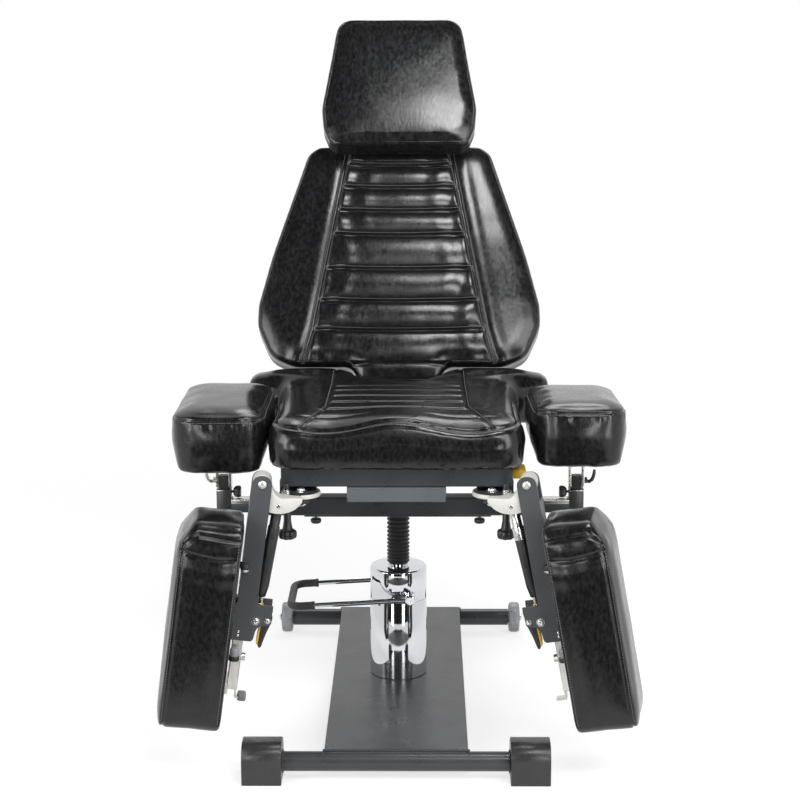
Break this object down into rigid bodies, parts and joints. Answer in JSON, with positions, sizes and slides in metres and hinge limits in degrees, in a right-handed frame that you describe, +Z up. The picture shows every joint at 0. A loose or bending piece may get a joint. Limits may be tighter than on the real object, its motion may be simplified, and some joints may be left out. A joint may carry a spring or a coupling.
{
  "type": "tattoo chair",
  "caption": "Hydraulic tattoo chair with reclining backrest, sliding headrest, adjustable armrests, split swing-out leg rests and a foot pump on a flat wheeled base.",
  "frame": {"origin": "on the floor, at the middle of the overall footprint box", "axes": "+Z up, -Y towards the sitter's feet, +X to the right of a viewer who faces the chair"},
  "size_m": [0.8844, 0.9715, 1.3327],
  "materials": {
    "paint": "satin dark grey paint",
    "panel": "satin grey paint",
    "chrome": "polished chrome",
    "steel": "bright zinc and nickel steel",
    "ivory": "light grey cast finish",
    "rubber": "black rubber",
    "plastic": "black moulded plastic",
    "upholstery": "glossy black synthetic leather over foam",
    "yellow": "yellow plastic grip",
    "wheel": "grey plastic wheel"
  },
  "bodies": {
    "base": {"base_plate": "paint", "front_tube": "paint", "rear_tube": "paint", "front_foot_left": "plastic", "front_foot_right": "plastic", "rear_axle": "steel", "pump_barrel": "chrome", "pump_cap": "chrome", "pedal_pivot_pin": "steel", "bellows": "rubber"},
    "pedal": {"pedal_bar": "chrome", "pedal_grip": "rubber"},
    "ram": {"ram_rod": "chrome", "ram_head": "paint"},
    "seat": {"carrier_box": "panel", "seat_frame": "paint", "cross_tube": "paint", "seat_cushion": "upholstery", "leg_swing_bolt_left": "steel", "leg_swing_bolt_right": "steel", "back_hinge_pin": "steel"},
    "recline_handle": {"recline_lever": "yellow"},
    "backrest": {"back_frame": "paint", "back_cushion": "upholstery"},
    "headrest": {"headrest_post": "steel", "headrest_cushion": "upholstery"},
    "wheel_left": {"wheel_left": "wheel"},
    "swing_clamp_left": {"swing_knob_left": "plastic"},
    "slide_clamp_left": {"slide_knob_left": "plastic"},
    "arm_left": {"arm_slider_left": "chrome"},
    "height_clamp_left": {"height_knob_left": "plastic"},
    "arm_post_left": {"arm_stem_left": "steel"},
    "armrest_left": {"arm_yoke_left": "steel", "arm_pad_left": "upholstery"},
    "tilt_clamp_left": {"tilt_lever_left": "steel"},
    "leg_swing_left": {"leg_bracket_left": "ivory", "leg_hinge_bolt_left": "steel"},
    "leg_left": {"leg_bar_left": "paint"},
    "gas_tube_left": {"gas_cylinder_left": "plastic"},
    "gas_piston_left": {"gas_rod_left": "steel"},
    "leg_release_left": {"release_lever_left": "plastic"},
    "legrest_left": {"pad_rail_left": "steel", "leg_pad_left": "upholstery"},
    "wheel_right": {"wheel_right": "wheel"},
    "swing_clamp_right": {"swing_knob_right": "plastic"},
    "slide_clamp_right": {"slide_knob_right": "plastic"},
    "arm_right": {"arm_slider_right": "chrome"},
    "height_clamp_right": {"height_knob_right": "plastic"},
    "arm_post_right": {"arm_stem_right": "steel"},
    "armrest_right": {"arm_yoke_right": "steel", "arm_pad_right": "upholstery"},
    "tilt_clamp_right": {"tilt_lever_right": "steel"},
    "leg_swing_right": {"leg_bracket_right": "ivory", "leg_hinge_bolt_right": "steel"},
    "leg_right": {"leg_bar_right": "paint"},
    "gas_tube_right": {"gas_cylinder_right": "plastic"},
    "gas_piston_right": {"gas_rod_right": "steel"},
    "leg_release_right": {"release_lever_right": "plastic"},
    "legrest_right": {"pad_rail_right": "steel", "leg_pad_right": "upholstery"}
  },
  "joints": [
    {"name": "pedal_press", "type": "hinge", "parent": "base", "child": "pedal", "pos_m": [0.024, -0.031, 0.2285], "axis": [0, -1, 0], "range_deg": [0, 15], "stiffness_Nm_per_rad": 4, "springref_deg": -17.19},
    {"name": "pump_lift", "type": "slide", "parent": "base", "child": "ram", "axis": [0, 0, 1], "range_m": [-0.04, 0.14], "deforming": ["bellows"]},
    {"name": "seat_turn", "type": "hinge", "parent": "ram", "child": "seat", "pos_m": [0, -0.031, 0.4766], "axis": [0, 0, 1], "continuous": true},
    {"name": "recline_handle_press", "type": "hinge", "parent": "seat", "child": "recline_handle", "pos_m": [0.2125, -0.061, 0.52], "axis": [1, 0, 0], "range_deg": [0, 18], "stiffness_Nm_per_rad": 0.6, "springref_deg": -28.65},
    {"name": "back_recline", "type": "hinge", "parent": "seat", "child": "backrest", "pos_m": [0, 0.181, 0.53], "axis": [-1, 0, 0], "range_deg": [0, 55]},
    {"name": "headrest_lift", "type": "slide", "parent": "backrest", "child": "headrest", "axis": [0, 0.5, 0.866], "range_m": [0, 0.08]},
    {"name": "wheel_roll_left", "type": "hinge", "parent": "base", "child": "wheel_left", "pos_m": [-0.2518, 0.364, 0.033], "axis": [1, 0, 0], "continuous": true},
    {"name": "swing_clamp_turn_left", "type": "hinge", "parent": "seat", "child": "swing_clamp_left", "pos_m": [-0.2027, -0.265, 0.48], "axis": [0, 0, 1], "continuous": true},
    {"name": "slide_clamp_turn_left", "type": "hinge", "parent": "seat", "child": "slide_clamp_left", "pos_m": [-0.1585, -0.113, 0.41275], "axis": [0, 0, 1], "continuous": true},
    {"name": "arm_reach_left", "type": "slide", "parent": "seat", "child": "arm_left", "axis": [-1, 0, 0], "range_m": [0, 0.08]},
    {"name": "height_clamp_turn_left", "type": "hinge", "parent": "arm_left", "child": "height_clamp_left", "pos_m": [-0.321, -0.113, 0.4519], "axis": [1, 0, 0], "continuous": true},
    {"name": "arm_height_left", "type": "slide", "parent": "arm_left", "child": "arm_post_left", "axis": [0, 0, 1], "range_m": [0, 0.06]},
    {"name": "arm_tilt_left", "type": "hinge", "parent": "arm_post_left", "child": "armrest_left", "pos_m": [-0.335, -0.113, 0.4745], "axis": [-1, 0, 0], "range_deg": [-6, 14]},
    {"name": "tilt_clamp_turn_left", "type": "hinge", "parent": "armrest_left", "child": "tilt_clamp_left", "pos_m": [-0.35, -0.113, 0.4745], "axis": [1, 0, 0], "range_deg": [0, 40]},
    {"name": "leg_swing_turn_left", "type": "hinge", "parent": "seat", "child": "leg_swing_left", "pos_m": [-0.1747, -0.293, 0.5305], "axis": [0, 0, 1], "range_deg": [0, 84]},
    {"name": "leg_raise_left", "type": "hinge", "parent": "leg_swing_left", "child": "leg_left", "pos_m": [-0.24202, -0.33464, 0.5305], "axis": [-0.0958, 0.9954, 0], "range_deg": [0, 80]},
    {"name": "gas_tube_turn_left", "type": "hinge", "parent": "leg_swing_left", "child": "gas_tube_left", "pos_m": [-0.21365, -0.33191, 0.488], "axis": [-0.0958, 0.9954, 0], "range_deg": [0, 81.73]},
    {"name": "gas_rod_push_left", "type": "slide", "parent": "gas_tube_left", "child": "gas_piston_left", "axis": [-0.1945, -0.0187, -0.9807], "range_m": [0, 0.0666]},
    {"name": "leg_release_pull_left", "type": "hinge", "parent": "leg_left", "child": "leg_release_left", "pos_m": [-0.23745, -0.3342, 0.27285], "axis": [0.0958, -0.9954, 0], "range_deg": [0, 25], "stiffness_Nm_per_rad": 0.2, "springref_deg": -22.92},
    {"name": "leg_length_left", "type": "slide", "parent": "leg_left", "child": "legrest_left", "axis": [-0.1385, -0.0133, -0.9903], "range_m": [0, 0.06]},
    {"name": "wheel_roll_right", "type": "hinge", "parent": "base", "child": "wheel_right", "pos_m": [0.2518, 0.364, 0.033], "axis": [1, 0, 0], "continuous": true},
    {"name": "swing_clamp_turn_right", "type": "hinge", "parent": "seat", "child": "swing_clamp_right", "pos_m": [0.2027, -0.265, 0.48], "axis": [0, 0, 1], "continuous": true},
    {"name": "slide_clamp_turn_right", "type": "hinge", "parent": "seat", "child": "slide_clamp_right", "pos_m": [0.1585, -0.113, 0.41275], "axis": [0, 0, 1], "continuous": true},
    {"name": "arm_reach_right", "type": "slide", "parent": "seat", "child": "arm_right", "axis": [1, 0, 0], "range_m": [-0.009, 0.071]},
    {"name": "height_clamp_turn_right", "type": "hinge", "parent": "arm_right", "child": "height_clamp_right", "pos_m": [0.33, -0.113, 0.4519], "axis": [1, 0, 0], "continuous": true},
    {"name": "arm_height_right", "type": "slide", "parent": "arm_right", "child": "arm_post_right", "axis": [0, 0, 1], "range_m": [0, 0.06]},
    {"name": "arm_tilt_right", "type": "hinge", "parent": "arm_post_right", "child": "armrest_right", "pos_m": [0.344, -0.113, 0.4745], "axis": [-1, 0, 0], "range_deg": [-10, 10]},
    {"name": "tilt_clamp_turn_right", "type": "hinge", "parent": "armrest_right", "child": "tilt_clamp_right", "pos_m": [0.359, -0.113, 0.4745], "axis": [1, 0, 0], "range_deg": [0, 40]},
    {"name": "leg_swing_turn_right", "type": "hinge", "parent": "seat", "child": "leg_swing_right", "pos_m": [0.1747, -0.293, 0.5305], "axis": [0, 0, -1], "range_deg": [0, 79]},
    {"name": "leg_raise_right", "type": "hinge", "parent": "leg_swing_right", "child": "leg_right", "pos_m": [0.23813, -0.34035, 0.5305], "axis": [-0.1822, -0.9833, 0], "range_deg": [0, 78]},
    {"name": "gas_tube_turn_right", "type": "hinge", "parent": "leg_swing_right", "child": "gas_tube_right", "pos_m": [0.21011, -0.33516, 0.488], "axis": [-0.1822, -0.9833, 0], "range_deg": [0, 79.22]},
    {"name": "gas_rod_push_right", "type": "slide", "parent": "gas_tube_right", "child": "gas_piston_right", "axis": [0.2415, -0.0448, -0.9694], "range_m": [0, 0.0653]},
    {"name": "leg_release_pull_right", "type": "hinge", "parent": "leg_right", "child": "leg_release_right", "pos_m": [0.24468, -0.34157, 0.2729], "axis": [0.1822, 0.9833, 0], "range_deg": [0, 25], "stiffness_Nm_per_rad": 0.2, "springref_deg": -22.92},
    {"name": "leg_length_right", "type": "slide", "parent": "leg_right", "child": "legrest_right", "axis": [0.1792, -0.0332, -0.9833], "range_m": [0, 0.06]}
  ],
  "couplings": [
    {"joint": "gas_tube_turn_left", "follows": "leg_raise_left", "ratio": 1.0154},
    {"joint": "gas_rod_push_left", "follows": "leg_raise_left", "m_per_rad": 0.046987},
    {"joint": "gas_tube_turn_right", "follows": "leg_raise_right", "ratio": 1.0093},
    {"joint": "gas_rod_push_right", "follows": "leg_raise_right", "m_per_rad": 0.047264}
  ]
}
